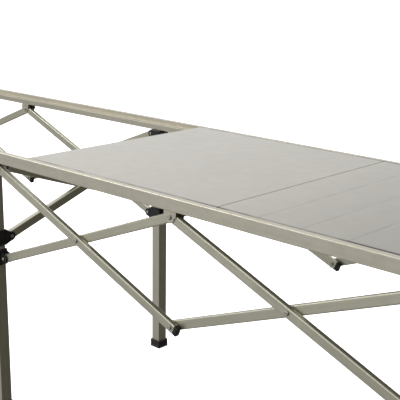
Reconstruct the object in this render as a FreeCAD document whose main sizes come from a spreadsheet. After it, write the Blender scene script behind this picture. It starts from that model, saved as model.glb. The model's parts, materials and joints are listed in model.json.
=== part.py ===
import FreeCAD, Part
import math
import os
import re

import Sketcher

# A long folding platform.  Loose deck panels lie in the rebates of two rails, and the rails
# stand on six square posts that are braced by scissor arms.  Millimetres; the origin is on
# the floor under the middle of the frame, +X runs along the rails, +Y from the front rail to
# the rear rail and +Z up.

DIMENSIONS = {
    # overall
    "deck_height": 914,  # floor to the top of the deck and of the rails
    "bay": 820,  # a post's centre to the mid-span joint beside it
    "post_line": 370,  # middle plane of the frame to the plane of a side's posts and arms
    # rails: a square lip with a lower ledge on its inner side
    "rail_length": 1750,
    "rail_outer": 400,  # middle plane of the frame to a rail's outer face
    "rail_height": 36,
    "lip_width": 18,
    "ledge_width": 28,
    "rail_wall": 1.8,
    "rail_round": 2,
    "joiner_length": 240,
    "joiner_slack": 0.2,
    "cap_plate": 3,
    "cap_plug": 16,
    # deck panels
    "panel_start": 203,  # middle of the frame to the first panel's free edge
    "panel_length": 770,
    "panel_thick": 16,
    "panel_skin": 1.5,
    "panel_gap": 2,
    "panel_slack": 3,
    "panel_round": 1,
    # posts
    "post_side": 40,
    "post_wall": 1.8,
    "post_round": 2.5,
    "foot_side": 47,
    "foot_height": 30,
    "foot_floor": 8,
    # black mouldings on the posts
    "collar_side": 47,
    "collar_height": 52,
    "bracket_height": 50,
    "collar_play": 0.3,
    "cap_roof": 4,
    "fork_width": 26,
    "fork_gap": 17,
    "fork_round": 15,
    "fork_root": 24.5,  # post centre to the floor of a fork's slot
    "slider_ear": 23,  # half the height of a slider's ear where it leaves the body
    "bracket_ear": 17,
    "pivot_reach": 42,  # post centre to a fork's pin
    # scissor arms
    "arm_depth": 28,
    "arm_thick": 16,
    "arm_wall": 1.2,
    "arm_round": 3.5,
    "arm_offset": 8.5,  # plane of the posts to the middle of an arm
    "arm_end": 8,  # pin to the end of the tube in a fork
    "arm_tail": 13,  # pin to the end of the tube at a bottom mid-span joint
    "top_depth": 57,  # deck top to the upper pins of the long arms
    "arm_drop": 306,  # upper pins to the lower pins of the long arms
    "cross_thick": 21,  # the short arms are of thicker tube
    "cross_offset": 11,  # middle plane of a pair of posts to the middle of a short arm
    "cross_fork_width": 31,
    "cross_fork_gap": 22,
    "cross_depth": 69,  # deck top to the upper pins of the short arms
    "cross_drop": 229,  # upper pins to the lower pins of the short arms
    # pins
    "pin_radius": 3,
    "pin_play": 0.05,
    "head_radius": 6,
    "head_thick": 2.5,
    "head_gap": 0.25,
    # hangers that carry the mid-span joints under the rails
    "hanger_length": 44,
    "hanger_width": 38,
    "hanger_sheet": 2.1,
    "hanger_round": 16,
    "hanger_gap": 0.3,
}

PANEL_CELLS = 6
SIDES = {"front": -1, "rear": 1}
STATIONS = {"left": -1, "centre": 0, "right": 1}
AXES = {"x": FreeCAD.Vector(1, 0, 0), "y": FreeCAD.Vector(0, 1, 0), "z": FreeCAD.Vector(0, 0, 1)}
TOP_PIN = "deck_height - top_depth"
LOW_PIN = "deck_height - top_depth - arm_drop"
CROSS_TOP = "deck_height - cross_depth"
CROSS_PIN = "deck_height - cross_depth - cross_drop"
RAIL_BOTTOM = "deck_height - rail_height"
POST_TOP = "deck_height - rail_height - cap_roof"

# the forks of the long arms and of the short arms: offset, width and slot
FORKS = {
    "along": ("arm_offset", "fork_width", "fork_gap"),
    "across": ("cross_offset", "cross_fork_width", "cross_fork_gap"),
}

doc = FreeCAD.newDocument("platform")
sheet = doc.addObject("Spreadsheet::Sheet", "Sizes")
nodes = []


def fill_sheet():
    for row, (alias, number) in enumerate(DIMENSIONS.items(), start=1):
        sheet.set(f"A{row}", alias)
        sheet.set(f"B{row}", str(number))
        sheet.setAlias(f"B{row}", alias)
    doc.recompute()


def value(alias):
    return float(sheet.get(alias))


def bind(item, target, formula):
    """Ties a property or a named constraint to a formula of the sheet's aliases."""
    text = re.sub(r"(?!sqrt)\b[a-z][a-z_]*", lambda word: "Sizes." + word.group(), formula)
    item.setExpression(target, text)


def place(item, position, rotation=FreeCAD.Rotation()):
    item.Placement = FreeCAD.Placement(FreeCAD.Vector(), rotation)
    for letter, formula in zip("xyz", position):
        bind(item, "Placement.Base." + letter, formula)


def keep(item, label):
    """Marks a finished sub-part: its label is the name of its node."""
    item.Label = label
    nodes.append(item)
    return item


# ---- primitives and booleans ---------------------------------------------------------------


def block(name, size, corner):
    """A box from its three sizes and its lowest corner."""
    item = doc.addObject("Part::Box", name)
    for target, formula in zip(("Length", "Width", "Height"), size):
        bind(item, target, formula)
    place(item, corner)
    return item


def rod(name, radius, length, centre, axis):
    """A round bar whose middle is at centre."""
    item = doc.addObject("Part::Cylinder", name)
    bind(item, "Radius", radius)
    bind(item, "Height", length)
    start = list(centre)
    along = "xyz".index(axis)
    start[along] = f"{centre[along]} - ({length}) / 2"
    place(item, start, FreeCAD.Rotation(AXES["z"], AXES[axis]))
    return item


def fuse(name, items):
    item = doc.addObject("Part::MultiFuse", name)
    item.Shapes = items
    item.Refine = True
    return item


def cut(name, base, tools):
    item = doc.addObject("Part::Cut", name)
    item.Base = base
    item.Tool = tools[0] if len(tools) == 1 else fuse(name + "_tools", tools)
    item.Refine = True
    return item


def group(label, items):
    """Several separate solids that share one node."""
    item = doc.addObject("Part::Compound", label)
    item.Links = items
    return keep(item, label)


# ---- sketched bodies -----------------------------------------------------------------------


def sketch_on(body, name, role, offset="0"):
    sketch = body.newObject("Sketcher::SketchObject", name)
    plane = next(item for item in body.Origin.OriginFeatures if item.Role == role)
    sketch.AttachmentSupport = [(plane, "")]
    sketch.MapMode = "FlatFace"
    bind(sketch, "AttachmentOffset.Base.z", offset)
    return sketch


def add_rectangle(sketch, width, height):
    """A rectangle centred on the sketch's origin."""
    first = sketch.GeometryCount
    signs = [(-1, -1), (1, -1), (1, 1), (-1, 1)]
    corners = [FreeCAD.Vector(x * value("bay"), y * value("bay"), 0) for x, y in signs]
    for start, end in zip(corners, corners[1:] + corners[:1]):
        sketch.addGeometry(Part.LineSegment(start, end), False)
    for side in range(4):
        following = first + (side + 1) % 4
        sketch.addConstraint(Sketcher.Constraint("Coincident", first + side, 2, following, 1))
    for side, direction in enumerate(("Horizontal", "Vertical", "Horizontal", "Vertical")):
        sketch.addConstraint(Sketcher.Constraint(direction, first + side))
    sketch.addConstraint(Sketcher.Constraint("Symmetric", first, 1, first + 2, 1, -1, 1))
    for kind, side, formula in (("DistanceX", first, width), ("DistanceY", first + 1, height)):
        length = sketch.Geometry[side].length()
        index = sketch.addConstraint(Sketcher.Constraint(kind, side, 1, side, 2, length))
        sketch.renameConstraint(index, f"{kind}{side}")
        bind(sketch, f"Constraints.{kind}{side}", formula)


def add_hole(sketch, radius, distance):
    """A circle on the sketch's horizontal axis, at a distance from the origin."""
    far = FreeCAD.Vector(value("bay"), 0, 0)
    circle = sketch.addGeometry(Part.Circle(far, AXES["z"], value("pin_radius")), False)
    sketch.addConstraint(Sketcher.Constraint("PointOnObject", circle, 3, -1))
    for kind, constraint, formula in (
        ("Radius", Sketcher.Constraint("Radius", circle, value("pin_radius")), radius),
        ("Along", Sketcher.Constraint("DistanceX", -1, 1, circle, 3, far.x), distance),
    ):
        index = sketch.addConstraint(constraint)
        sketch.renameConstraint(index, f"{kind}{circle}")
        bind(sketch, f"Constraints.{kind}{circle}", formula)


def long_edges(shape, axis):
    """The names of the outermost edges that run the shape's whole length along an axis."""
    across = [i for i in range(3) if i != "xyz".index(axis)]
    box = shape.BoundBox
    centre = box.Center
    half = (box.XLength / 2, box.YLength / 2, box.ZLength / 2)
    names = []
    for number, edge in enumerate(shape.Edges, start=1):
        away = edge.CenterOfMass - centre
        if all(abs(abs(away[i]) - half[i]) < 0.01 for i in across):
            names.append(f"Edge{number}")
    return names


def pad(body, sketch, length):
    feature = body.newObject("PartDesign::Pad", "Pad")
    feature.Profile = sketch
    bind(feature, "Length", length)
    return feature


def round_edges(body, feature, axis, radius):
    doc.recompute()
    fillet = body.newObject("PartDesign::Fillet", "Fillet")
    fillet.Base = (feature, long_edges(feature.Shape, axis))
    bind(fillet, "Radius", radius)
    body.Tip = fillet
    return fillet


def tube(label, role, section, wall, start, length, radius):
    """A square tube: its sketch lies on an origin plane, and its long edges are rounded."""
    body = doc.addObject("PartDesign::Body", label)
    sketch = sketch_on(body, "Section", role, start)
    add_rectangle(sketch, section[0], section[1])
    add_rectangle(sketch, f"{section[0]} - 2 * {wall}", f"{section[1]} - 2 * {wall}")
    axis = {"YZ_Plane": "x", "XY_Plane": "z"}[role]
    round_edges(body, pad(body, sketch, length), axis, radius)
    return body


# ---- rails and deck ------------------------------------------------------------------------


def make_rail(label, side, end):
    """A hollow lip with a hollow ledge beside it, from the frame's middle to one end."""
    start = "0" if end > 0 else "-rail_length"
    walls = {"lip": "lip_width", "ledge": "ledge_width"}
    heights = {"lip": "rail_height", "ledge": "rail_height - panel_thick"}
    # distances from the rail's outer face to the start of each cell
    insets = {"lip": "0", "ledge": "lip_width"}
    solid, hollow = [], []
    for cell in walls:
        outer_wall = "rail_wall" if cell == "lip" else "0"
        width = f"{walls[cell]} - rail_wall - {outer_wall}"
        inset = insets[cell]
        corner = rail_corner(side, inset, walls[cell])
        solid.append(block(f"{label}_{cell}", ("rail_length", walls[cell], heights[cell]),
                           (start, corner, RAIL_BOTTOM)))
        inner = rail_corner(side, f"{inset} + {outer_wall}", width)
        hollow.append(block(f"{label}_{cell}_bore",
                            ("rail_length", width, f"{heights[cell]} - 2 * rail_wall"),
                            (start, inner, f"{RAIL_BOTTOM} + rail_wall")))
    rail = cut(f"{label}_section", fuse(f"{label}_outline", solid), hollow)
    doc.recompute()
    fillet = doc.addObject("Part::Fillet", label)
    fillet.Base = rail
    radius = value("rail_round")
    fillet.Edges = [(int(name[4:]), radius, radius) for name in long_edges(rail.Shape, "x")]
    keep(fillet, label)


def rail_corner(side, inset, width):
    """The lowest Y of a strip that starts inset from a rail's outer face."""
    if side < 0:
        return f"-rail_outer + {inset}"
    return f"rail_outer - ({inset}) - ({width})"


def make_rails():
    for name, side in SIDES.items():
        make_rail(f"rail_{name}_left", side, -1)
        make_rail(f"rail_{name}_right", side, 1)


def make_rail_joiners():
    """A square sleeve in each rail's lip, across the butt joint of its two lengths."""
    sleeves = []
    for name, side in SIDES.items():
        width = "lip_width - 2 * rail_wall - 2 * joiner_slack"
        height = "rail_height - 2 * rail_wall - 2 * joiner_slack"
        inset = "rail_wall + joiner_slack"
        low = f"{RAIL_BOTTOM} + rail_wall + joiner_slack"
        outside = block(f"joiner_{name}_outside", ("joiner_length", width, height),
                        ("-joiner_length / 2", rail_corner(side, inset, width), low))
        bore_width = f"{width} - 2 * rail_wall"
        bore_corner = rail_corner(side, f"{inset} + rail_wall", bore_width)
        bore = block(f"joiner_{name}_bore",
                     ("joiner_length", bore_width, f"{height} - 2 * rail_wall"),
                     ("-joiner_length / 2", bore_corner, f"{low} + rail_wall"))
        sleeves.append(cut(f"joiner_{name}", outside, [bore]))
    group("rail_joiners", sleeves)


def make_rail_caps():
    """An end plate with a plug in the lip, at each of the four rail ends."""
    caps = []
    for name, side in SIDES.items():
        for end_name, end in (("left", -1), ("right", 1)):
            start = "rail_length" if end > 0 else "-rail_length - cap_plate"
            plug_start = "rail_length - cap_plug" if end > 0 else "-rail_length"
            plug_width = "lip_width - 2 * rail_wall - 2 * joiner_slack"
            plug_height = "rail_height - 2 * rail_wall - 2 * joiner_slack"
            title = f"cap_{name}_{end_name}"
            lip = block(title + "_lip", ("cap_plate", "lip_width", "rail_height"),
                        (start, rail_corner(side, "0", "lip_width"), RAIL_BOTTOM))
            ledge = block(title + "_ledge",
                          ("cap_plate", "ledge_width", "rail_height - panel_thick"),
                          (start, rail_corner(side, "lip_width", "ledge_width"), RAIL_BOTTOM))
            plug = block(title + "_plug", ("cap_plug", plug_width, plug_height),
                         (plug_start, rail_corner(side, "rail_wall + joiner_slack", plug_width),
                          f"{RAIL_BOTTOM} + rail_wall + joiner_slack"))
            caps.append(fuse(title, [lip, ledge, plug]))
    group("rail_end_caps", caps)


def make_panel(label, start):
    """A hollow deck panel that drops between the lips and rests on the ledges."""
    width = "2 * rail_outer - 2 * lip_width - 2 * panel_slack"
    low = "deck_height - panel_thick"
    plate = block(label + "_plate", ("panel_length", width, "panel_thick"),
                  (start, f"-({width}) / 2", low))
    cells = []
    for cell in range(PANEL_CELLS):
        cells.append(block(f"{label}_cell{cell}",
                           (f"panel_length / {PANEL_CELLS} - 2 * panel_skin", f"{width} + 2",
                            "panel_thick - 2 * panel_skin"),
                           (f"{start} + {cell} * panel_length / {PANEL_CELLS} + panel_skin",
                            f"-({width}) / 2 - 1", f"{low} + panel_skin")))
    hollow = cut(label + "_hollow", plate, cells)
    doc.recompute()
    panel = doc.addObject("Part::Fillet", label)
    panel.Base = hollow
    radius = value("panel_round")
    panel.Edges = [(number, radius, radius)
                   for number, edge in enumerate(hollow.Shape.Edges, start=1)
                   if edge.BoundBox.ZMin > value("deck_height") - radius]
    keep(panel, label)


def make_panels():
    make_panel("deck_panel_inner", "panel_start")
    make_panel("deck_panel_outer", "panel_start + panel_length + panel_gap")


# ---- posts and the mouldings on them -------------------------------------------------------


def make_posts():
    for side_name, side in SIDES.items():
        for station_name, station in STATIONS.items():
            label = f"post_{side_name}_{station_name}"
            body = tube(label, "XY_Plane", ("post_side", "post_side"), "post_wall",
                        "foot_floor", f"{POST_TOP} - foot_floor", "post_round")
            place(body, (f"{2 * station} * bay", f"{side} * post_line", "0"))
            keep(body, label)


def post_hole(name, x, y, low, height):
    """A square socket that a post stands in or runs through."""
    width = "post_side + 2 * collar_play"
    return block(name, (width, width, height),
                 (f"{x} - ({width}) / 2", f"{y} - ({width}) / 2", low))


def make_feet():
    for station_name, station in STATIONS.items():
        feet = []
        for side_name, side in SIDES.items():
            title = f"foot_{side_name}_{station_name}"
            x, y = f"{2 * station} * bay", f"{side} * post_line"
            pad_block = block(title + "_pad", ("foot_side", "foot_side", "foot_height"),
                              (f"{x} - foot_side / 2", f"{y} - foot_side / 2", "0"))
            socket = post_hole(title + "_socket", x, y, "foot_floor", "foot_height")
            feet.append(cut(title, pad_block, [socket]))
        group(f"feet_{station_name}", feet)


def make_gusset(name, middle, width, root):
    """A block that tapers from a moulding's side down to the height of a fork's nose."""
    item = doc.addObject("Part::Wedge", name)
    start, end = "collar_side / 2 - 1", "pivot_reach"
    formulas = {
        "Xmin": f"-{width} / 2", "Xmax": f"{width} / 2",
        "X2min": f"-{width} / 2", "X2max": f"{width} / 2",
        "Ymin": start, "Ymax": end,
        "Zmin": f"-{root}", "Zmax": root, "Z2min": "-fork_round", "Z2max": "fork_round",
    }
    for target, formula in formulas.items():
        bind(item, target, formula)
    place(item, ("0", middle, "0"), FreeCAD.Rotation(AXES["z"], -90))
    return item


def make_fork(name, kind, angle, offset, position, root):
    """A two-eared lug that points along angle; its slot holds one arm, offset to a side."""
    shift, width, gap = FORKS[kind]
    middle = f"{offset} * {shift}"
    ears = fuse(name + "_ears", [
        make_gusset(name + "_gusset", middle, width, root),
        rod(name + "_nose", "fork_round", width, ("pivot_reach", middle, "0"), "y"),
    ])
    fork = cut(name, ears, [
        block(name + "_slot", ("pivot_reach", gap, "4 * fork_round"),
              ("fork_root", f"{middle} - {gap} / 2", "-2 * fork_round")),
        rod(name + "_hole", "pin_radius + pin_play", f"2 * {width}",
            ("pivot_reach", middle, "0"), "y"),
    ])
    place(fork, position, FreeCAD.Rotation(AXES["z"], angle))
    return fork


def inward_angles(station):
    """The directions in which the arms along the rails leave a post."""
    return {-1: [0], 0: [0, 180], 1: [180]}[station]


def make_moulding(title, station, side, body, socket, forks, root):
    """A square moulding round a post, with forks for the arms that meet there.

    body and socket are each a lowest height and a height.  forks gives, for the long arms
    ("along") and the short arm ("across"), the side of the post's plane that the arm lies on
    and the height of its pin.
    """
    x, y = f"{2 * station} * bay", f"{side} * post_line"
    parts = [block(title + "_block", ("collar_side", "collar_side", body[1]),
                   (f"{x} - collar_side / 2", f"{y} - collar_side / 2", body[0]))]
    angles = {"along": inward_angles(station), "across": [-90 * side]}
    for kind, (offset, pin_height) in forks.items():
        for angle in angles[kind]:
            parts.append(make_fork(f"{title}_{kind}{abs(angle)}", kind, angle, offset,
                                   (x, y, pin_height), root))
    hole = post_hole(title + "_socket", x, y, socket[0], socket[1])
    return cut(title, fuse(title + "_solid", parts), [hole])


def make_brackets(station_name, station):
    """Caps on a pair of posts; the end pairs can slide along under the rails."""
    low = f"{RAIL_BOTTOM} - bracket_height"
    body = (low, f"bracket_height - {abs(station)} * hanger_gap")
    socket = (low, "bracket_height - cap_roof")
    forks = {"along": (-1, TOP_PIN), "across": (1, CROSS_TOP)}
    group(f"top_brackets_{station_name}",
          [make_moulding(f"bracket_{name}_{station_name}", station, side, body, socket, forks,
                         "bracket_ear") for name, side in SIDES.items()])


def make_sliders(name, station_name, station, pin_height, kind, offset):
    """Collars that run up and down a pair of posts; each has forks of one kind."""
    body = (f"{pin_height} - collar_height / 2", "collar_height")
    socket = (f"{pin_height} - collar_height", "2 * collar_height")
    forks = {kind: (offset, pin_height)}
    group(f"{name}_sliders_{station_name}",
          [make_moulding(f"{name}_slider_{side_name}_{station_name}", station, side, body, socket,
                         forks, "slider_ear") for side_name, side in SIDES.items()])


def make_post_fittings():
    for station_name, station in STATIONS.items():
        make_brackets(station_name, station)
        make_sliders("arm", station_name, station, LOW_PIN, "along", 1)
        make_sliders("cross", station_name, station, CROSS_PIN, "across", -1)


# ---- scissor arms --------------------------------------------------------------------------


def make_arm(label, thick, span, tail):
    """A rectangular tube from its upper pin along +X, with holes for three pins."""
    body = tube(label, "YZ_Plane", (thick, "arm_depth"), "arm_wall", "-arm_end",
                f"{span} + arm_end + {tail}", "arm_round")
    holes = sketch_on(body, "Pins", "XZ_Plane")
    for share in (0, 0.5, 1):
        add_hole(holes, "pin_radius + pin_play", f"{share} * {span}")
    pocket = body.newObject("PartDesign::Pocket", "Pocket")
    pocket.Profile = holes
    pocket.SideType = "Symmetric"
    bind(pocket, "Length", f"2 * {thick}")
    body.Tip = pocket
    return keep(body, label)


def make_long_arms():
    """Four bays of crossed arms on each side; a falling arm goes down towards +X."""
    span = "sqrt((bay - pivot_reach)^2 + arm_drop^2)"
    slope = math.degrees(math.atan2(value("arm_drop"), value("bay") - value("pivot_reach")))
    # each bay: the post beside it, and the way from that post to the mid-span joint
    bays = {1: (-2, 1), 2: (0, -1), 3: (0, 1), 4: (2, -1)}
    for side_name, side in SIDES.items():
        for bay, (post, way) in bays.items():
            near_post = f"{post} * bay + {way} * pivot_reach"
            mid_span = f"{post + way} * bay"
            # the arm from the post's bracket ends in a tail at the bottom mid-span joint,
            # and the arm from the mid-span hanger ends in the slider on the post
            for start, heading, tail in ((near_post, way, "arm_tail"), (mid_span, -way, "arm_end")):
                falling = heading > 0
                slant = "falling" if falling else "rising"
                arm = make_arm(f"arm_{side_name}_bay{bay}_{slant}", "arm_thick", span, tail)
                turn = FreeCAD.Rotation(AXES["z"], 0 if falling else 180)
                turn = turn.multiply(FreeCAD.Rotation(AXES["y"], slope))
                layer = -1 if falling else 1
                place(arm, (start, f"{side} * post_line + {layer} * arm_offset", TOP_PIN), turn)


def make_short_arms():
    """A crossed pair from front to rear at each pair of posts."""
    span = "sqrt((2 * post_line - 2 * pivot_reach)^2 + cross_drop^2)"
    run = 2 * (value("post_line") - value("pivot_reach"))
    slope = math.degrees(math.atan2(value("cross_drop"), run))
    for station_name, station in STATIONS.items():
        for side_name, side in SIDES.items():
            arm = make_arm(f"cross_arm_{station_name}_{side_name}_high", "cross_thick", span,
                           "arm_end")
            turn = FreeCAD.Rotation(AXES["z"], -90 * side)
            turn = turn.multiply(FreeCAD.Rotation(AXES["y"], slope))
            place(arm, (f"{2 * station} * bay + {side} * cross_offset",
                        f"{side} * post_line - {side} * pivot_reach", CROSS_TOP), turn)


# ---- hangers and pins ----------------------------------------------------------------------


def make_hangers():
    """A folded hanger under each rail: a roof and two ears that carry a mid-span joint."""
    for end_name, end in (("left", -1), ("right", 1)):
        hangers = []
        for side_name, side in SIDES.items():
            title = f"hanger_{side_name}_{end_name}"
            x, y = f"{end} * bay", f"{side} * post_line"
            top = f"{RAIL_BOTTOM} - hanger_gap"
            rise = "top_depth - rail_height - hanger_gap"
            gap = "hanger_width - 2 * hanger_sheet"
            outside = fuse(title + "_outside", [
                block(title + "_plate", ("hanger_length", "hanger_width", rise),
                      (f"{x} - hanger_length / 2", f"{y} - hanger_width / 2", TOP_PIN)),
                rod(title + "_nose", "hanger_round", "hanger_width", (x, y, TOP_PIN), "y"),
            ])
            hangers.append(cut(title, outside, [
                block(title + "_inside", ("2 * hanger_length", gap, "3 * hanger_round"),
                      (f"{x} - hanger_length", f"{y} - ({gap}) / 2",
                       f"{top} - hanger_sheet - 3 * hanger_round")),
                rod(title + "_hole", "pin_radius + pin_play", "2 * hanger_width",
                    (x, y, TOP_PIN), "y"),
            ]))
        group(f"hangers_{end_name}", hangers)


def make_pin(name, centre, axis, grip):
    """A headed pin whose heads stand just clear of the pieces that it holds."""
    hold = f"{grip} + 2 * head_gap"
    along = "xyz".index(axis)
    solids = [rod(name + "_shank", "pin_radius", f"{hold} + head_thick", centre, axis)]
    for end in (-1, 1):
        place_of_head = list(centre)
        place_of_head[along] += f" + {end} * (({hold}) + head_thick) / 2"
        solids.append(rod(f"{name}_head{end + 1}", "head_radius", "head_thick", place_of_head, axis))
    return fuse(name, solids)


def side_pins(title, x, z, layer, grip):
    """The front and the rear pin of a joint between pieces that turn about Y."""
    pins = []
    for side_name, side in SIDES.items():
        centre = [x, f"{side} * post_line + {layer} * arm_offset", z]
        pins.append(make_pin(f"{title}_{side_name}", centre, "y", grip))
    return pins


def cross_pins(station_name):
    """The pins of one crossed pair of short arms."""
    station = STATIONS[station_name]
    pins = []
    for side_name, side in SIDES.items():
        y = f"{side} * post_line - {side} * pivot_reach"
        for level, z, layer in (("top", CROSS_TOP, side), ("low", CROSS_PIN, -side)):
            x = f"{2 * station} * bay + {layer} * cross_offset"
            title = f"pin_{station_name}_{side_name}_{level}"
            pins.append(make_pin(title, [x, y, z], "x", "cross_fork_width"))
    middle = [f"{2 * station} * bay", "0", "deck_height - cross_depth - cross_drop / 2"]
    grip = "2 * cross_offset + cross_thick"
    pins.append(make_pin(f"pin_{station_name}_middle", middle, "x", grip))
    return pins


def make_pins():
    pair_grip = "2 * arm_offset + arm_thick"
    half_drop = "deck_height - top_depth - arm_drop / 2"
    centre = cross_pins("centre")
    for end_name, end in (("left", -1), ("right", 1)):
        # towards this end a falling arm leaves the centre bracket if the end is the right one
        high, low = -end, end
        near = f"{end} * pivot_reach"
        far = f"{end} * (2 * bay - pivot_reach)"
        joint = f"{end} * bay"
        centre += side_pins(f"pin_near_top_{end_name}", near, TOP_PIN, high, "fork_width")
        group(f"pins_high_arms_{end_name}",
              side_pins(f"pin_inner_cross_{end_name}", f"{end} * (bay + pivot_reach) / 2",
                        half_drop, 0, pair_grip)
              + side_pins(f"pin_bottom_{end_name}", joint, LOW_PIN, 0, pair_grip))
        group(f"pins_low_arms_{end_name}",
              side_pins(f"pin_hanger_{end_name}", joint, TOP_PIN, 0, "hanger_width")
              + side_pins(f"pin_near_low_{end_name}", near, LOW_PIN, low, "fork_width"))
        group(f"pins_outer_arms_{end_name}",
              side_pins(f"pin_outer_cross_{end_name}", f"{end} * (3 * bay - pivot_reach) / 2",
                        half_drop, 0, pair_grip)
              + side_pins(f"pin_far_low_{end_name}", far, LOW_PIN, -low, "fork_width"))
        group(f"pins_posts_{end_name}",
              side_pins(f"pin_far_top_{end_name}", far, TOP_PIN, -high, "fork_width")
              + cross_pins(end_name))
    group("pins_posts_centre", centre)


# ---- build and export ----------------------------------------------------------------------


def check_document():
    doc.recompute()
    for item in doc.Objects:
        if "Invalid" in item.State or "Error" in item.State:
            raise RuntimeError(f"{item.Label} failed: {item.State}")
    for item in nodes:
        if item.Shape.isNull() or not item.Shape.isValid():
            raise RuntimeError(f"{item.Label} has no valid shape")


def export_nodes():
    os.makedirs("parts", exist_ok=True)
    for item in nodes:
        item.Shape.exportStep(f"parts/{item.Label}.step")
        print(item.Label, len(item.Shape.Solids), round(item.Shape.Volume))


fill_sheet()
make_rails()
make_rail_joiners()
make_rail_caps()
make_panels()
make_posts()
make_feet()
make_post_fittings()
make_long_arms()
make_short_arms()
make_hangers()
make_pins()
check_document()
export_nodes()
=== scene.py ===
import json
import math

import bmesh
import bpy
from mathutils import Matrix, Vector


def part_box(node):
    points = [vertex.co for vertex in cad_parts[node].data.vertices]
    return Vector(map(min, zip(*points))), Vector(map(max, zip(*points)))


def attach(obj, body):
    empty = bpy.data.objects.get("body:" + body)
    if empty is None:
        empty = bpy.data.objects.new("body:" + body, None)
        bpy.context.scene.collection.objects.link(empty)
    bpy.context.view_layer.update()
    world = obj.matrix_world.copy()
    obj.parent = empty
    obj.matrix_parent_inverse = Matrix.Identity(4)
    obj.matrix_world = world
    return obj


# A long folding platform: deck panels in two rails, on posts braced by scissor arms.
# Metres, in the frame of the CAD model; +X runs along the rails and +Z is up.

# Camera
CAMERA_PLACE = Vector((2.4179, -1.976, 1.5096))
CAMERA_HEADING = math.radians(133.214)
CAMERA_DIP = math.radians(15.034)
CAMERA_ROLL = math.radians(-0.829)
CAMERA_LENS = 81.694
CAMERA_SENSOR = 36
CAMERA_REACH = 200

# Sections of the CAD model
ARM_THICK = 0.016
ARM_DEPTH = 0.028
ARM_WALL = 0.0012
ARM_OFFSET = 0.0085  # plane of the posts to the middle of an arm
ARM_END = 0.008  # pin to the end of the tube in a fork or a hanger
ARM_TAIL = 0.013  # pin to the end of the tube at a bottom mid-span joint
CROSS_THICK = 0.021
CROSS_OFFSET = 0.011  # middle of a pair of posts to the middle of a short arm
FORK_WIDTH = 0.026
CROSS_FORK_WIDTH = 0.031
HANGER_WIDTH = 0.038
PAIR_WIDTH = 2 * ARM_OFFSET + ARM_THICK
CROSS_PAIR_WIDTH = 2 * CROSS_OFFSET + CROSS_THICK
HEAD_STAND = 0.00275  # outer face of a pin's head above the pieces that it holds
HEAD_RADIUS = 0.006
PANEL_CELLS = 6

# Black mouldings
MOULDED_EDGE = 0.0011
MOULDED_SEGMENTS = 2
MOULDED_ANGLE = math.radians(50)
PLUG_PLAY = 0.0002
PLUG_DEPTH = 0.0036
PLUG_CORNER = 0.002
PLUG_CHAMFER = 0.0003
PLUG_SLIM = 0.0008  # how much narrower a plug is past its chamfer
FLANGE_HEIGHT = 0.013
FLANGE_CORNER = 0.0034
FLANGE_GAP = 0.0001
RIM_HEIGHT = 0.005
RIM_PROUD = 0.0012
RIM_CORNER = 0.002
RIM_OUTER_CORNER = 0.0026
RIM_TUCK = 0.001
RIB_WIDTH = 0.003
RIB_PROUD = 0.0009
RIB_CORNER = 0.0006
RIB_TUCK = 0.001
RIB_PLACES = (-0.3, 0, 0.3)  # shares of the moulding's width
RAIL_CLEAR = 0.0004  # a bracket's upper rim stays under the rail
FOOT_CLEAR = 0.003  # a foot's lower rim stays off the floor
WASHER_RADIUS = 0.0095
WASHER_HOLE = 0.0031
WASHER_THICK = 0.0008

# Profiles
# a rolled rivet end: a low dome with a dimple, as shares of the head's radius and heights
RIVET = [(0.96, -0.0002), (0.96, 0.0004), (0.86, 0.0009), (0.62, 0.00125), (0.46, 0.0012),
         (0.36, 0.0008), (0.26, 0.0004), (0.04, 0.0003)]
# a blind rivet: radii and heights
BLIND_RIVET = [(0.0034, -0.0002), (0.0034, 0.0002), (0.0028, 0.0009), (0.0016, 0.0012),
               (0.0013, 0.0011), (0.0011, 0.0005), (0.0002, 0.0005)]
BLIND_RIVET_PLACES = (-0.8, -0.5, 0.5, 0.8)  # shares of half a sleeve's length
# a plug's dished flange: height over its top, how much narrower it is, and its corners
FLANGE = [(-0.0012, 0.0, FLANGE_CORNER), (-0.0003, 0.0009, 0.003), (0.0, 0.0026, 0.0024),
          (-0.0007, 0.0042, 0.0018), (-0.0008, 0.008, 0.0012)]

# Stage
FLOOR_SIZE = 160
FLOOR_DARK, FLOOR_LIGHT = (0.88, 0.88, 0.88), (0.9, 0.9, 0.9)
FLOOR_ROUGHNESS = 0.9
FLOOR_GLOW = 0.85
# lights: name, place, aim, size and power
LIGHTS = (
    ("key", (-3.2, -1.8, 4.4), (0.3, 0, 0.7), (3, 3), 130),
    ("front", (-1.2, -6.0, 1.2), (0.8, 0, 0.6), (4, 2), 60),
)
# light of the studio from its -X side (0) to its +X side (1), from below (0) to above (1),
# and the least light from above
WORLD_ACROSS = ((0.0, (1.0, 1.0, 1.0)), (0.12, (0.98, 0.98, 0.98)), (0.3, (0.8, 0.8, 0.79)),
                (0.6, (0.34, 0.335, 0.3)), (1.0, (0.13, 0.125, 0.095)))
WORLD_UP = ((0.0, (0.3, 0.3, 0.3)), (0.42, (0.5, 0.5, 0.5)), (0.55, (1.0, 1.0, 1.0)),
            (1.0, (0.8, 0.8, 0.8)))
WORLD_OVERHEAD = ((0.0, (0.0, 0.0, 0.0)), (0.57, (0.0, 0.0, 0.0)), (0.66, (0.62, 0.62, 0.6)),
                  (1.0, (0.85, 0.85, 0.83)))
WORLD_LEVEL = 1.25

X, Y, Z = Vector((1, 0, 0)), Vector((0, 1, 0)), Vector((0, 0, 1))

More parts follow.
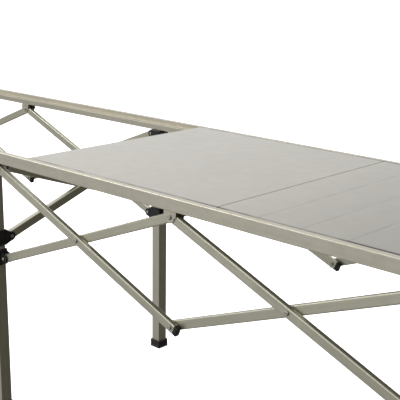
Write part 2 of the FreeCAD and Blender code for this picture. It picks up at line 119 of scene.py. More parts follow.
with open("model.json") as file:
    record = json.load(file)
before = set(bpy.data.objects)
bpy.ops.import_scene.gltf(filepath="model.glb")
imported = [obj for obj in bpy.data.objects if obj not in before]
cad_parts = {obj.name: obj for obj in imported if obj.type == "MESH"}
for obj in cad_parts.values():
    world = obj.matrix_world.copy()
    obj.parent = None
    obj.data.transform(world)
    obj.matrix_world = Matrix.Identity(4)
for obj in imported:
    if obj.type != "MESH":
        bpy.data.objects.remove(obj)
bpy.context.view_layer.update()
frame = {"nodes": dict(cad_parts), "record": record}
JOINTS = {joint["name"]: Vector(joint["pos_m"])
          for joint in frame["record"]["behaviour"]["joints"] if joint["type"] == "hinge"}


def node_box(node):
    low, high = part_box(node)
    return Vector(low), Vector(high)


def node_centre(node):
    low, high = node_box(node)
    return (low + high) / 2


TOP_PIN = JOINTS["fold"].z
LOW_PIN = JOINTS["slider_low_right"].z
NEAR = JOINTS["fold"].x  # middle of the frame to the nearest pins of the long arms
MID = JOINTS["crest_right"].x
FAR = JOINTS["slider_low_right"].x
POST_LINE = node_centre("post_rear_centre").y
STATION = node_centre("post_rear_right").x
FORK_Y = POST_LINE - NEAR  # the short arms' pins stand as far from the post as the long arms'
CROSS_LOW = node_centre("cross_sliders_centre").z
CROSS_TOP = CROSS_LOW + 2 * (node_centre("cross_arm_centre_front_high").z - CROSS_LOW)
SIDES = {"front": -1, "rear": 1}
ENDS = {"left": -1, "right": 1}
STATIONS = {"left": -1, "centre": 0, "right": 1}


# ---- meshes --------------------------------------------------------------------------------


class Shape:
    """A mesh that gathers several closed forms and becomes one piece."""

    def __init__(self):
        self.mesh = bmesh.new()

    def rings(self, rings, closed=False):
        """Skins a row of rings of points; the ends are capped unless the row is closed."""
        rows = [[self.mesh.verts.new(point) for point in ring] for ring in rings]
        pairs = list(zip(rows, rows[1:] + rows[:1])) if closed else list(zip(rows, rows[1:]))
        for lower, upper in pairs:
            for index in range(len(lower)):
                following = (index + 1) % len(lower)
                self.mesh.faces.new((lower[index], lower[following], upper[following],
                                     upper[index]))
        if not closed:
            self.mesh.faces.new(list(reversed(rows[0])))
            self.mesh.faces.new(rows[-1])

    def turned(self, profile, place, axis, steps=28):
        """Turns a profile of (radius, height) points round an axis; the ends lie off it."""
        side = axis.orthogonal().normalized()
        other = axis.cross(side)
        closed = profile[0] == profile[-1]
        points = profile[:-1] if closed else profile
        circle = [2 * math.pi * step / steps for step in range(steps)]
        self.rings([[place + axis * height + (side * math.cos(a) + other * math.sin(a)) * radius
                     for a in circle] for radius, height in points], closed)

    def loft(self, sections, place, along, across, up, closed=False):
        """Skins rounded rectangles: each section is (distance, width, height, radius)."""
        rings = []
        for distance, width, height, radius in sections:
            rings.append([place + along * distance + across * u + up * v
                          for u, v in rounded(width, height, radius)])
        self.rings(rings, closed)

    def piece(self, name, material, slot, body, smooth=40):
        """Makes the object, and lets it ride on a body."""
        bmesh.ops.recalc_face_normals(self.mesh, faces=self.mesh.faces)
        data = bpy.data.meshes.new(name)
        self.mesh.to_mesh(data)
        self.mesh.free()
        data.materials.append(material)
        item = bpy.data.objects.new(name, data)
        bpy.context.collection.objects.link(item)
        data.shade_smooth()
        data.set_sharp_from_angle(angle=math.radians(smooth))
        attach(item, body)
        return item


def rounded(width, height, radius, steps=4):
    """The outline of a rectangle with rounded corners, centred on the origin."""
    points = []
    for quarter, (sx, sy) in enumerate(((1, 1), (-1, 1), (-1, -1), (1, -1))):
        cx, cy = sx * (width / 2 - radius), sy * (height / 2 - radius)
        for step in range(steps + 1):
            angle = math.pi / 2 * (quarter + step / steps)
            points.append((cx + radius * math.cos(angle), cy + radius * math.sin(angle)))
    return points


# ---- materials -----------------------------------------------------------------------------

CHAMPAGNE = (0.481, 0.454, 0.378)
OLIVE = (0.474, 0.461, 0.374)
SHEET = (0.415, 0.396, 0.355)
MILL = (0.62, 0.62, 0.61)
# the last is the paler black at the mouldings' edges: partly scuffing and partly a painted
# highlight
COAL, SOOT, RUBBED_AND_HIGHLIT = (0.009, 0.009, 0.009), (0.017, 0.016, 0.015), (0.055, 0.053, 0.05, 1)
# the last is a lighter zinc painted on the heads' edges as a highlight
ZINC_DARK, ZINC_LIGHT, ZINC_EDGE_HIGHLIGHT = (0.26, 0.25, 0.225), (0.40, 0.39, 0.36), (0.62, 0.62, 0.6, 1)

# noises: scale, detail and roughness
DIE_LINES, DIE_BANDS = (900, 2, 0.6), (110, 3)
TUBE_CLOUDS, TUBE_SMEARS = (7, 4), (38, 5, 0.65)
SHEET_LINES, SHEET_STROKES = (700, 2, 0.6), (60, 4, 0.6)
SHEET_CLOUDS, SHEET_SMEARS = (3.2, 4), (26, 6, 0.62)
WEB_BREAKS, GAP_SHADOW_PATCHES = (9, 3), (5, 2)
MOULD_GRAIN, MOULD_FLOW, MOULD_SCUFFS = (1600, 3, 0.6), (30, 4), (160, 5, 0.7)
ZINC_PATCHES, ZINC_SPECKS = (220, 4, 0.6), (1400, 3)
FLOOR_CLOUDS = (0.6, 2)
MIDDLE = (0.3, 0.7)  # the part of a noise's range that a tone or a gloss follows

# how much longer marks are along the metal than across it
TUBE_STRETCH, SHEET_STRETCH, SCUFF_STRETCH = 60, 80, 12
# rounding of edges, and bumps: distance and strength
TUBE_EDGE, SHEET_EDGE, MOULD_EDGE, HEAD_EDGE = 0.0012, 0.001, 0.0014, 0.0006
EDGE_SAMPLES = 4
TUBE_BUMP, SHEET_BUMP = (0.00004, 0.35), (0.000012, 0.15)
MOULD_BUMP, ZINC_BUMP = (0.00008, 0.6), (0.00005, 0.4)
EDGE_SPAN = (0.8, 0.995)  # cosine between the rounded and the flat normal, at an edge and off it

# tones are shares of the metal's own colour; depths say how far a tone is mixed in
BAND_DARK, BAND_LIGHT = 0.95, 1.04
CLOUD_TONE, CLOUD_DEPTH, CLOUD_SPAN = 0.84, 0.35, (0.4, 0.7)
# edges lighter partly as wear and partly as a painted highlight
EDGE_WEAR_AND_HIGHLIGHT_TONE, EDGE_WEAR_AND_HIGHLIGHT_DEPTH, EDGE_WEAR_AND_HIGHLIGHT_SPAN = 1.3, (0.15, 0.75), (0.35, 0.65)
TUBE_ROUGHNESS, MILL_ROUGHNESS, TUBE_METALLIC = 0.36, 0.42, 0.9
SMEAR_GLOSS, LINE_GLOSS = (-0.05, 0.08), (-0.04, 0.04)

STROKE_DARK, STROKE_LIGHT, STROKE_SPAN = 0.98, 1.015, (0.3, 0.72)
HAZE_TONE, HAZE_DEPTH, HAZE_SPAN = 0.88, 0.3, (0.42, 0.75)
# painted shade towards a panel's far end, where its reflection falls off
FAR_END_SHADE_TONE = 0.6
WEB_TONE, WEB_SPAN, WEB_SINK = 0.35, (0.006, 0.024), -4  # the span is in shares of a cell
BREAK_DEPTH, BREAK_SPAN = (0.35, 1.0), (0.4, 0.6)
# lighter edges of the sheet: a painted highlight
SHEET_EDGE_HIGHLIGHT_TONE, SHEET_EDGE_HIGHLIGHT_DEPTH = 1.12, 0.3
# painted shadow along the panels' sides, in the gap under the rails' lips, broken into patches
GAP_SHADOW_TONE, GAP_SHADOW_FROM, GAP_SHADOW_FULL = 0.12, 0.009, 0.004  # distances from the panel's side
PATCH_DEPTH, PATCH_SPAN = (0.45, 1.0), (0.44, 0.56)
SHEET_ROUGHNESS, STROKE_GLOSS, SHEET_METALLIC = (0.28, 0.34), (-0.01, 0.01), 0.75
# for each panel: tone (lower on the outer panel as painted shade), depth of its webs, depth of
# the painted shadow at its sides and of the painted shade towards its far end
INNER_PANEL, OUTER_PANEL = (1.0, 0.1, 0.8, 0.12), (0.94, 0.6, 1.0, 0.85)

# mouldings' edges paler partly as scuffs and partly as a painted highlight
RUB_AND_HIGHLIGHT_DEPTH, RUB_AND_HIGHLIGHT_SPAN = (0.1, 0.7), (0.4, 0.62)
MOULD_ROUGHNESS, MOULD_SPECULAR = (0.36, 0.56), 0.3
ZINC_EDGE_HIGHLIGHT_DEPTH, ZINC_ROUGHNESS = 0.4, (0.2, 0.42)


class Nodes:
    """A material's node tree, with short ways to add and link nodes."""

    def __init__(self, name):
        self.material = bpy.data.materials.new(name)
        self.material.use_nodes = True
        self.tree = self.material.node_tree
        self.shader = self.tree.nodes["Principled BSDF"]
        self.place = self.add("ShaderNodeTexCoord").outputs["Object"]

    def add(self, kind):
        return self.tree.nodes.new(kind)

    def feed(self, target, source):
        """Sets an input to a plain value or links it to an output."""
        if isinstance(source, bpy.types.NodeSocket):
            self.tree.links.new(source, target)
        else:
            target.default_value = source

    def math(self, operation, *values):
        node = self.add("ShaderNodeMath")
        node.operation = operation
        for target, source in zip(node.inputs, values):
            self.feed(target, source)
        return node.outputs[0]

    def dot(self, vector, other):
        node = self.add("ShaderNodeVectorMath")
        node.operation = "DOT_PRODUCT"
        self.feed(node.inputs[0], vector)
        self.feed(node.inputs[1], other)
        return node.outputs["Value"]

    def ramp(self, fac, low, high, start=0.0, end=1.0):
        """A colour that runs from low to high as fac runs from start to end."""
        node = self.add("ShaderNodeValToRGB")
        node.color_ramp.elements[0].position = start
        node.color_ramp.elements[1].position = end
        node.color_ramp.elements[0].color = (*low, 1)
        node.color_ramp.elements[1].color = (*high, 1)
        self.feed(node.inputs["Fac"], fac)
        return node.outputs["Color"]

    def scaled(self, fac, low, high, start=0.0, end=1.0):
        """A number that runs from low to high as fac runs from start to end."""
        node = self.add("ShaderNodeMapRange")
        for name, source in (("Value", fac), ("From Min", start), ("From Max", end),
                             ("To Min", low), ("To Max", high)):
            self.feed(node.inputs[name], source)
        return node.outputs["Result"]

    def mixed(self, fac, first, second, blend="MIX"):
        node = self.add("ShaderNodeMix")
        node.data_type = "RGBA"
        node.blend_type = blend
        self.feed(node.inputs["Factor"], fac)
        self.feed(node.inputs[6], first)
        self.feed(node.inputs[7], second)
        return node.outputs[2]

    def noise(self, vector, scale, detail=3.0, roughness=0.55):
        node = self.add("ShaderNodeTexNoise")
        self.feed(node.inputs["Scale"], scale)
        self.feed(node.inputs["Detail"], detail)
        self.feed(node.inputs["Roughness"], roughness)
        self.feed(node.inputs["Vector"], vector)
        return node.outputs["Fac"]

    def drawn(self, along, stretch):
        """The object's coordinates, squeezed along the direction that the metal was drawn in."""
        side = along.orthogonal().normalized()
        node = self.add("ShaderNodeCombineXYZ")
        for name, direction, scale in (("X", along, 1 / stretch), ("Y", side, 1),
                                       ("Z", along.cross(side), 1)):
            self.feed(node.inputs[name], self.math("MULTIPLY", self.dot(self.place, direction),
                                                   scale))
        return node.outputs["Vector"]

    def soft_edges(self, radius):
        """A normal that is rounded at edges, and how close a point is to an edge."""
        bevel = self.add("ShaderNodeBevel")
        bevel.samples = EDGE_SAMPLES
        self.feed(bevel.inputs["Radius"], radius)
        normal = bevel.outputs["Normal"]
        flat = self.add("ShaderNodeNewGeometry").outputs["Normal"]
        return normal, self.scaled(self.dot(normal, flat), 1.0, 0.0, *EDGE_SPAN)

    def bump(self, height, distance, strength, normal=None):
        node = self.add("ShaderNodeBump")
        self.feed(node.inputs["Height"], height)
        self.feed(node.inputs["Distance"], distance)
        self.feed(node.inputs["Strength"], strength)
        if normal is not None:
            self.feed(node.inputs["Normal"], normal)
        return node.outputs["Normal"]

    def finish(self, **inputs):
        for name, source in inputs.items():
            self.feed(self.shader.inputs[name.replace("_", " ")], source)
        return self.material


def shade(colour, factor):
    return tuple(part * factor for part in colour)


def aluminium(name, colour, along, roughness=TUBE_ROUGHNESS):
    """Extruded and anodised: die lines along the tube, cloudy tone, edges lighter from wear and a
    painted highlight.
    """
    nodes = Nodes(name)
    drawn = nodes.drawn(along, TUBE_STRETCH)
    lines = nodes.noise(drawn, *DIE_LINES)
    bands = nodes.noise(drawn, *DIE_BANDS)
    clouds = nodes.noise(nodes.place, *TUBE_CLOUDS)
    smears = nodes.noise(nodes.place, *TUBE_SMEARS)
    normal, edge = nodes.soft_edges(TUBE_EDGE)
    tone = nodes.ramp(bands, shade(colour, BAND_DARK), shade(colour, BAND_LIGHT), *MIDDLE)
    tone = nodes.mixed(nodes.scaled(clouds, 0.0, CLOUD_DEPTH, *CLOUD_SPAN), tone,
                       (*shade(colour, CLOUD_TONE), 1))
    # lighter edges, broken up by smears: partly wear and partly a painted highlight
    worn_and_highlit = nodes.math("MULTIPLY", edge, nodes.scaled(smears, *EDGE_WEAR_AND_HIGHLIGHT_DEPTH, *EDGE_WEAR_AND_HIGHLIGHT_SPAN))
    tone = nodes.mixed(worn_and_highlit, tone, (*shade(colour, EDGE_WEAR_AND_HIGHLIGHT_TONE), 1))
    low, high = (roughness + part for part in SMEAR_GLOSS)
    gloss = nodes.math("ADD", nodes.scaled(smears, low, high, *MIDDLE),
                       nodes.scaled(lines, *LINE_GLOSS, *MIDDLE))
    return nodes.finish(Base_Color=tone, Metallic=TUBE_METALLIC, Roughness=gloss,
                        Normal=nodes.bump(lines, *TUBE_BUMP, normal))


def deck_sheet(name, colour, start, pitch, half_width, web_depth, gap_shadow_depth, far_end_shade):
    """Rolled sheet, darker towards its far end as painted shade, with the webs of its cells just
    showing.
    """
    nodes = Nodes(name)
    drawn = nodes.drawn(Y, SHEET_STRETCH)
    lines = nodes.noise(drawn, *SHEET_LINES)
    strokes = nodes.noise(drawn, *SHEET_STROKES)
    clouds = nodes.noise(nodes.place, *SHEET_CLOUDS)
    smears = nodes.noise(nodes.place, *SHEET_SMEARS)
    cells = nodes.math("DIVIDE", nodes.math("SUBTRACT", nodes.dot(nodes.place, X), start), pitch)
    phase = nodes.math("FRACT", nodes.math("ADD", cells, 0.5))
    away = nodes.math("ABSOLUTE", nodes.math("SUBTRACT", phase, 0.5))
    web = nodes.scaled(away, 1.0, 0.0, *WEB_SPAN)
    normal, edge = nodes.soft_edges(SHEET_EDGE)
    tone = nodes.ramp(strokes, shade(colour, STROKE_DARK), shade(colour, STROKE_LIGHT),
                      *STROKE_SPAN)
    tone = nodes.mixed(nodes.scaled(clouds, 0.0, HAZE_DEPTH, *HAZE_SPAN), tone,
                       (*shade(colour, HAZE_TONE), 1))
    # painted shade: the sheet darkens towards its far end
    tone = nodes.mixed(nodes.scaled(cells, 0.0, far_end_shade, 0, PANEL_CELLS), tone,
                       (*shade(colour, FAR_END_SHADE_TONE), 1))
    broken = nodes.scaled(nodes.noise(nodes.place, *WEB_BREAKS), *BREAK_DEPTH, *BREAK_SPAN)
    tone = nodes.mixed(nodes.math("MULTIPLY", nodes.math("MULTIPLY", web, web_depth), broken),
                       tone, (*shade(colour, WEB_TONE), 1))
    # painted highlight along the sheet's edges
    tone = nodes.mixed(nodes.math("MULTIPLY", edge, SHEET_EDGE_HIGHLIGHT_DEPTH), tone,
                       (*shade(colour, SHEET_EDGE_HIGHLIGHT_TONE), 1))
    # painted shadow along the panel's sides, where the gap under the rail's lip lies in shade
    across = nodes.math("ABSOLUTE", nodes.dot(nodes.place, Y))
    patchy = nodes.scaled(nodes.noise(nodes.place, *GAP_SHADOW_PATCHES), *PATCH_DEPTH, *PATCH_SPAN)
    side = nodes.scaled(across, 0.0, gap_shadow_depth, half_width - GAP_SHADOW_FROM,
                        half_width - GAP_SHADOW_FULL)
    tone = nodes.mixed(nodes.math("MULTIPLY", patchy, side), tone,
                       (*shade(colour, GAP_SHADOW_TONE), 1))
    gloss = nodes.math("ADD", nodes.scaled(smears, *SHEET_ROUGHNESS, *MIDDLE),
                       nodes.scaled(strokes, *STROKE_GLOSS, *MIDDLE))
    height = nodes.math("ADD", lines, nodes.math("MULTIPLY", web, WEB_SINK))
    return nodes.finish(Base_Color=tone, Metallic=SHEET_METALLIC, Roughness=gloss,
                        Normal=nodes.bump(height, *SHEET_BUMP, normal))


def plastic(name):
    """Black moulding: fine spark-eroded grain, paler at its edges, partly scuffed and partly a
    painted highlight.
    """
    nodes = Nodes(name)
    grain = nodes.noise(nodes.place, *MOULD_GRAIN)
    flow = nodes.noise(nodes.place, *MOULD_FLOW)
    scuffs = nodes.noise(nodes.drawn(Z, SCUFF_STRETCH), *MOULD_SCUFFS)
    normal, edge = nodes.soft_edges(MOULD_EDGE)
    tone = nodes.ramp(flow, COAL, SOOT, *MIDDLE)
    # paler edges where scuffed, mixed with a painted highlight
    rubbed_and_highlit = nodes.math("MULTIPLY", edge, nodes.scaled(scuffs, *RUB_AND_HIGHLIGHT_DEPTH, *RUB_AND_HIGHLIGHT_SPAN))
    tone = nodes.mixed(rubbed_and_highlit, tone, RUBBED_AND_HIGHLIT)
    gloss = nodes.scaled(nodes.mixed(0.5, flow, scuffs), *MOULD_ROUGHNESS, *MIDDLE)
    return nodes.finish(Base_Color=tone, Roughness=gloss, Specular_IOR_Level=MOULD_SPECULAR,
                        Normal=nodes.bump(grain, *MOULD_BUMP, normal))


def zinc(name):
    """Zinc plate with a faint yellow passivation, turning marks and a painted highlight on its
    edges.
    """
    nodes = Nodes(name)
    patches = nodes.noise(nodes.place, *ZINC_PATCHES)
    specks = nodes.noise(nodes.place, *ZINC_SPECKS)
    normal, edge = nodes.soft_edges(HEAD_EDGE)
    tone = nodes.ramp(patches, ZINC_DARK, ZINC_LIGHT, *MIDDLE)
    # painted highlight on the edges of the heads
    tone = nodes.mixed(nodes.math("MULTIPLY", edge, ZINC_EDGE_HIGHLIGHT_DEPTH), tone, ZINC_EDGE_HIGHLIGHT)
    return nodes.finish(Base_Color=tone, Metallic=1.0,
                        Roughness=nodes.scaled(specks, *ZINC_ROUGHNESS, *MIDDLE),
                        Normal=nodes.bump(specks, *ZINC_BUMP, normal))


SLOPE = Vector((FAR - MID, 0, LOW_PIN - TOP_PIN)).normalized()
RISE = Vector((SLOPE.x, 0, -SLOPE.z))


def cross_slopes():
    low, high = node_box("cross_arm_centre_front_high")
    fall = Vector((0, high.y - low.y - ARM_DEPTH, -(high.z - low.z - ARM_DEPTH))).normalized()
    return fall, Vector((0, fall.y, -fall.z))


CROSS_FALL, CROSS_RISE = cross_slopes()
ALONG_RAIL = aluminium("champagne_rail", CHAMPAGNE, X)
UPRIGHT = aluminium("champagne_post", CHAMPAGNE, Z)
FALLING = aluminium("olive_falling_arm", OLIVE, SLOPE)
RISING = aluminium("olive_rising_arm", OLIVE, RISE)
CROSS_FALLING = aluminium("olive_front_high_arm", OLIVE, CROSS_FALL)
CROSS_RISING = aluminium("olive_rear_high_arm", OLIVE, CROSS_RISE)
SLEEVE = aluminium("mill_sleeve", MILL, X, MILL_ROUGHNESS)
BLACK = plastic("black_moulding")
STEEL = zinc("zinc_plate")


def panel_look(node, tone, web_depth, gap_shadow_depth, far_end_shade):
    low, high = node_box(node)
    return deck_sheet(node + "_sheet", shade(SHEET, tone), low.x,
                      (high.x - low.x) / PANEL_CELLS, high.y, web_depth, gap_shadow_depth, far_end_shade)


LOOKS = {
    "deck_panel_inner": panel_look("deck_panel_inner", *INNER_PANEL),
    "deck_panel_outer": panel_look("deck_panel_outer", *OUTER_PANEL),
    "rail_joiners": SLEEVE,
    "rail_end_caps": BLACK,
    "rail_": ALONG_RAIL,
    "post_": UPRIGHT,
    "hangers_": ALONG_RAIL,
    "pins_": STEEL,
    "feet_": BLACK,
    "top_brackets_": BLACK,
    "arm_sliders_": BLACK,
    "cross_sliders_": BLACK,
}


def look_of(name):
    """The material of a CAD node, from the start of its name."""
    if name.startswith("cross_arm_"):
        return CROSS_FALLING if "_front_" in name else CROSS_RISING
    if name.startswith("arm_") and name.endswith(("falling", "rising")):
        return FALLING if name.endswith("falling") else RISING
    return next(look for start, look in LOOKS.items() if name.startswith(start))


def dress_nodes():
    for name, node in frame["nodes"].items():
        look = look_of(name)
        for slot in node.material_slots:
            slot.material = look
        if look is BLACK:
            edges = node.modifiers.new("moulded_edges", "BEVEL")
            edges.width = MOULDED_EDGE
            edges.segments = MOULDED_SEGMENTS
            edges.limit_method = "ANGLE"
            edges.angle_limit = MOULDED_ANGLE
            edges.use_clamp_overlap = True


# ---- pins and washers ----------------------------------------------------------------------


def joint_pins():
    """Every pin of the frame: body, middle of its grip, axis and grip."""
    half = (TOP_PIN + LOW_PIN) / 2
    pins = []
    for end_name, end in ENDS.items():
        high, low = -end, end
        rows = [
            ("centre_frame", end * NEAR, TOP_PIN, high, FORK_WIDTH),
            (f"high_arms_{end_name}", end * (MID + NEAR) / 2, half, 0, PAIR_WIDTH),
            (f"high_arms_{end_name}", end * MID, LOW_PIN, 0, PAIR_WIDTH),
            (f"low_arms_{end_name}", end * MID, TOP_PIN, 0, HANGER_WIDTH),
            (f"low_arms_{end_name}", end * NEAR, LOW_PIN, low, FORK_WIDTH),
            (f"outer_low_arms_{end_name}", end * (MID + FAR) / 2, half, 0, PAIR_WIDTH),
            (f"outer_low_arms_{end_name}", end * FAR, LOW_PIN, -low, FORK_WIDTH),
            (f"end_frame_{end_name}", end * FAR, TOP_PIN, -high, FORK_WIDTH),
        ]
        for body, x, z, layer, grip in rows:
            for side in SIDES.values():
                middle = Vector((x, side * POST_LINE + layer * ARM_OFFSET, z))
                pins.append((body, middle, Y, grip))
    return pins


def frame_body(station_name):
    return "centre_frame" if station_name == "centre" else f"end_frame_{station_name}"


def cross_pins():
    """The pins of the short arms, at each pair of posts."""
    pins = []
    for station_name, station in STATIONS.items():
        body = frame_body(station_name)
        for side in SIDES.values():
            for z, layer in ((CROSS_TOP, side), (CROSS_LOW, -side)):
                middle = Vector((station * STATION + layer * CROSS_OFFSET, side * FORK_Y, z))
                pins.append((body, middle, X, CROSS_FORK_WIDTH))
        middle = Vector((station * STATION, 0, (CROSS_TOP + CROSS_LOW) / 2))
        pins.append((body, middle, X, CROSS_PAIR_WIDTH))
    return pins


def make_pin_details():
    """A rolled end on each pin's heads, and a washer between the arms of a pair."""
    ends, washers = {}, {}
    for body, middle, axis, grip in joint_pins() + cross_pins():
        shape = ends.setdefault(body, Shape())
        for way in (-1, 1):
            face = middle + axis * way * (grip / 2 + HEAD_STAND)
            shape.turned([(part * HEAD_RADIUS, height) for part, height in RIVET], face,
                         axis * way)
        if grip in (PAIR_WIDTH, CROSS_PAIR_WIDTH):
            ring = [(WASHER_HOLE, -WASHER_THICK / 2), (WASHER_RADIUS, -WASHER_THICK / 2),
                    (WASHER_RADIUS, WASHER_THICK / 2), (WASHER_HOLE, WASHER_THICK / 2),
                    (WASHER_HOLE, -WASHER_THICK / 2)]
            washers.setdefault(body, Shape()).turned(ring, middle, axis)
    for body, shape in ends.items():
        shape.piece(f"rivet_ends_{body}", STEEL, "zinc_steel", body)
    for body, shape in washers.items():
        shape.piece(f"washers_{body}", BLACK, "black_plastic", body)


# ---- plugs in the arms' ends ---------------------------------------------------------------


def plug_sections(thick, end, flange):
    """A plug in a tube that ends at a distance from its pin, with or without a flange."""
    walls = 2 * ARM_WALL + 2 * PLUG_PLAY
    width, depth = thick - walls, ARM_DEPTH - walls
    inside = (end - PLUG_DEPTH, width, depth, PLUG_CORNER)
    if not flange:
        return [inside, (end - 2 * PLUG_CHAMFER, width, depth, PLUG_CORNER),
                (end - PLUG_CHAMFER, width - PLUG_SLIM, depth - PLUG_SLIM,
                 PLUG_CORNER - PLUG_CHAMFER)]
    wide, tall, top = thick - PLUG_PLAY, ARM_DEPTH - PLUG_PLAY, end + FLANGE_HEIGHT
    under = end + FLANGE_GAP
    return [inside, (under, width, depth, PLUG_CORNER), (under, wide, tall, FLANGE_CORNER)] + [
        (top + over, wide - slim, tall - slim, corner) for over, slim, corner in FLANGE]


def long_arm_bodies():
    """For each long arm: its body, its upper pin's X, the way it runs down and its tail."""
    arms = []
    for end_name, end in ENDS.items():
        arms += [
            (f"high_arms_{end_name}", end * NEAR, end, True),
            (f"low_arms_{end_name}", end * MID, -end, False),
            (f"outer_low_arms_{end_name}", end * MID, end, False),
            (f"outer_high_arms_{end_name}", end * FAR, -end, True),
        ]
    return arms


def make_plugs():
    shapes = {}
    span = math.hypot(MID - NEAR, TOP_PIN - LOW_PIN)
    for body, x, way, tail in long_arm_bodies():
        shape = shapes.setdefault(body, Shape())
        along = Vector((way * SLOPE.x, 0, SLOPE.z))
        up = along.cross(Y)
        for side in SIDES.values():
            top = Vector((x, side * POST_LINE - way * ARM_OFFSET, TOP_PIN))
            shape.loft(plug_sections(ARM_THICK, ARM_END, False), top, -along, Y, up)
            end = ARM_TAIL if tail else ARM_END
            shape.loft(plug_sections(ARM_THICK, end, tail), top + along * span, along, Y, up)
    cross_span = math.hypot(2 * FORK_Y, CROSS_TOP - CROSS_LOW)
    for station_name, station in STATIONS.items():
        shape = shapes.setdefault(frame_body(station_name), Shape())
        for side in SIDES.values():
            along = Vector((0, -side * CROSS_FALL.y, CROSS_FALL.z))
            top = Vector((station * STATION + side * CROSS_OFFSET, side * FORK_Y, CROSS_TOP))
            sections = plug_sections(CROSS_THICK, ARM_END, False)
            for place, way in ((top, -1), (top + along * cross_span, 1)):
                shape.loft(sections, place, along * way, X, along.cross(X))
    for body, shape in shapes.items():
        shape.piece(f"tube_plugs_{body}", BLACK, "black_plastic", body)


# ---- rims and ribs of the mouldings on the posts -------------------------------------------


def add_rim(shape, middle, side, low, height, proud):
    """A raised band round a square moulding whose sides have a given length."""
    wide = side + 2 * proud
    tucked, high = side - RIM_TUCK, low + height
    sections = [
        (low, tucked, tucked, RIM_CORNER), (low, side, side, RIM_CORNER),
        (low + proud, wide, wide, RIM_OUTER_CORNER), (high - proud, wide, wide, RIM_OUTER_CORNER),
        (high, side, side, RIM_CORNER), (high, tucked, tucked, RIM_CORNER),
    ]
    shape.loft(sections, Vector((middle.x, middle.y, 0)), Z, X, Y, closed=True)


def add_ribs(shape, middle, side, low, high, facing):
    """Three upright ribs on the face of a moulding that looks outwards."""
    across = Z.cross(facing)
    face = Vector((middle.x, middle.y, 0)) + facing * side / 2
    foot = (RIB_WIDTH, RIB_TUCK, RIB_CORNER / 2)
    back = (RIB_WIDTH, 2 * RIB_PROUD, RIB_CORNER)
    sections = [(low, *foot), (low + RIB_PROUD, *back), (high - RIB_PROUD, *back), (high, *foot)]
    for place in RIB_PLACES:
        shape.loft(sections, face + across * place * side, Z, across, facing)


def make_moulding_details():
    """Rims at the ends of each collar, bracket and foot, and ribs on the outer faces of the
    collars and brackets.
    """
    kinds = (
        ("top_brackets", frame_body, True), ("cross_sliders", frame_body, True),
        ("arm_sliders", lambda name: f"slider_{name}", True), ("feet", frame_body, False),
    )
    for kind, body_of, ribbed in kinds:
        for station_name, station in STATIONS.items():
            shape = Shape()
            low, high = node_box(f"{kind}_{station_name}")
            side = 2 * (high.y - POST_LINE)
            if kind == "top_brackets":
                high.z -= RAIL_CLEAR
            if kind == "feet":
                low.z += FOOT_CLEAR
            for out in SIDES.values():
                middle = Vector((station * STATION, out * POST_LINE, 0))
                for start in (low.z, high.z - RIM_HEIGHT):
                    add_rim(shape, middle, side, start, RIM_HEIGHT, RIM_PROUD)
                if ribbed:
                    add_ribs(shape, middle, side, low.z + RIM_HEIGHT, high.z - RIM_HEIGHT,
                             Y * out)
            shape.piece(f"rims_{kind}_{station_name}", BLACK, "black_plastic",
                        body_of(station_name))


def make_joiner_rivets():
    """Blind rivets under the rails that hold the sleeves."""
    shape = Shape()
    sleeve_end = node_box("rail_joiners")[1].x
    lip = (node_box("rail_rear_left")[1].y + node_box("deck_panel_inner")[1].y) / 2
    under = node_box("rail_rear_left")[0].z
    for side in SIDES.values():
        for share in BLIND_RIVET_PLACES:
            shape.turned(BLIND_RIVET, Vector((share * sleeve_end, side * lip, under)), -Z)
    shape.piece("joiner_rivets", STEEL, "zinc_steel", "centre_frame")


# ---- stage, lights and camera --------------------------------------------------------------


def make_stage():
    """A pale floor that glows enough to look white behind the object."""
    bpy.ops.mesh.primitive_plane_add(size=FLOOR_SIZE, location=(0, 0, 0))
    floor = bpy.context.object
    floor.name = "floor"
    nodes = Nodes("floor_white")
    tone = nodes.ramp(nodes.noise(nodes.place, *FLOOR_CLOUDS), FLOOR_DARK, FLOOR_LIGHT, *MIDDLE)
    floor.data.materials.append(nodes.finish(
        Base_Color=tone, Roughness=FLOOR_ROUGHNESS, Emission_Color=(1, 1, 1, 1),
        Emission_Strength=FLOOR_GLOW))
    floor.visible_diffuse = False
    floor.visible_glossy = False


def area_light(name, place, aim, size, power):
    data = bpy.data.lights.new(name, "AREA")
    data.shape = "RECTANGLE"
    data.size, data.size_y = size
    data.energy = power
    light = bpy.data.objects.new(name, data)
    bpy.context.collection.objects.link(light)
    light.location = place
    light.rotation_euler = (Vector(aim) - Vector(place)).to_track_quat("-Z", "Y").to_euler()


def world_ramp(tree, place, points):
    """A ramp of light from one side of the studio (-1) to the other (1)."""
    spread = tree.nodes.new("ShaderNodeMapRange")
    spread.inputs["From Min"].default_value = -1
    tree.links.new(place, spread.inputs["Value"])
    ramp = tree.nodes.new("ShaderNodeValToRGB")
    elements = ramp.color_ramp.elements
    while len(elements) < len(points):
        elements.new(0.5)
    for element, (position, colour) in zip(elements, points):
        element.position = position
        element.color = (*colour, 1)
    tree.links.new(spread.outputs["Result"], ramp.inputs["Fac"])
    return ramp.outputs["Color"]


def world_mix(tree, blend, first, second, factor=None):
    mix = tree.nodes.new("ShaderNodeMix")
    mix.data_type = "RGBA"
    mix.blend_type = blend
    mix.inputs["Factor"].default_value = 1
    for target, source in ((mix.inputs[6], first), (mix.inputs[7], second),
                           (mix.inputs["Factor"], factor)):
        if isinstance(source, bpy.types.NodeSocket):
            tree.links.new(source, target)
        elif source is not None:
            target.default_value = source
    return mix.outputs[2]


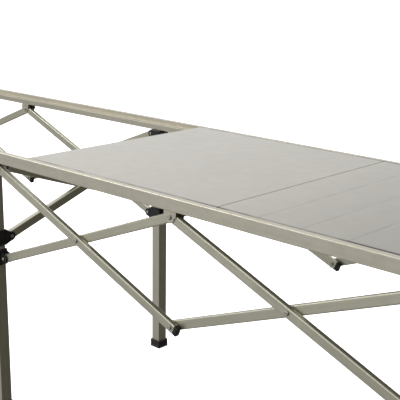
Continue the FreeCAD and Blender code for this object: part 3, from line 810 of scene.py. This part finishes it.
def make_world():
    """A studio that is bright at the left and above and dim at the lower right, seen as white."""
    world = bpy.data.worlds.new("studio")
    bpy.context.scene.world = world
    world.use_nodes = True
    tree = world.node_tree
    place = tree.nodes.new("ShaderNodeTexCoord").outputs["Generated"]
    split = tree.nodes.new("ShaderNodeSeparateXYZ")
    tree.links.new(place, split.inputs[0])
    across, height = split.outputs["X"], split.outputs["Z"]
    light = world_mix(tree, "MULTIPLY", world_ramp(tree, across, WORLD_ACROSS),
                      world_ramp(tree, height, WORLD_UP))
    light = world_mix(tree, "LIGHTEN", light, world_ramp(tree, height, WORLD_OVERHEAD))
    seen = tree.nodes.new("ShaderNodeLightPath").outputs["Is Camera Ray"]
    light = world_mix(tree, "MIX", light, (1, 1, 1, 1), seen)
    background = tree.nodes["Background"]
    tree.links.new(light, background.inputs["Color"])
    background.inputs["Strength"].default_value = WORLD_LEVEL


def make_lights():
    make_world()
    for name, place, aim, size, power in LIGHTS:
        area_light(name, place, aim, size, power)


def make_camera():
    heading, dip = CAMERA_HEADING, CAMERA_DIP
    ahead = Vector((math.cos(heading) * math.cos(dip), math.sin(heading) * math.cos(dip),
                    -math.sin(dip)))
    right = Vector((math.sin(heading), -math.cos(heading), 0))
    up = right.cross(ahead)
    turned_right = math.cos(CAMERA_ROLL) * right - math.sin(CAMERA_ROLL) * up
    turned_up = math.sin(CAMERA_ROLL) * right + math.cos(CAMERA_ROLL) * up
    data = bpy.data.cameras.new("camera")
    data.lens = CAMERA_LENS
    data.sensor_width = CAMERA_SENSOR
    data.clip_end = CAMERA_REACH
    camera = bpy.data.objects.new("camera", data)
    bpy.context.collection.objects.link(camera)
    turn = Matrix((turned_right, turned_up, -ahead)).transposed()
    camera.matrix_world = Matrix.Translation(CAMERA_PLACE) @ turn.to_4x4()
    bpy.context.scene.camera = camera


bpy.context.scene.view_settings.view_transform = "Standard"
dress_nodes()
make_pin_details()
make_plugs()
make_moulding_details()
make_joiner_rivets()
make_stage()
make_lights()
make_camera()
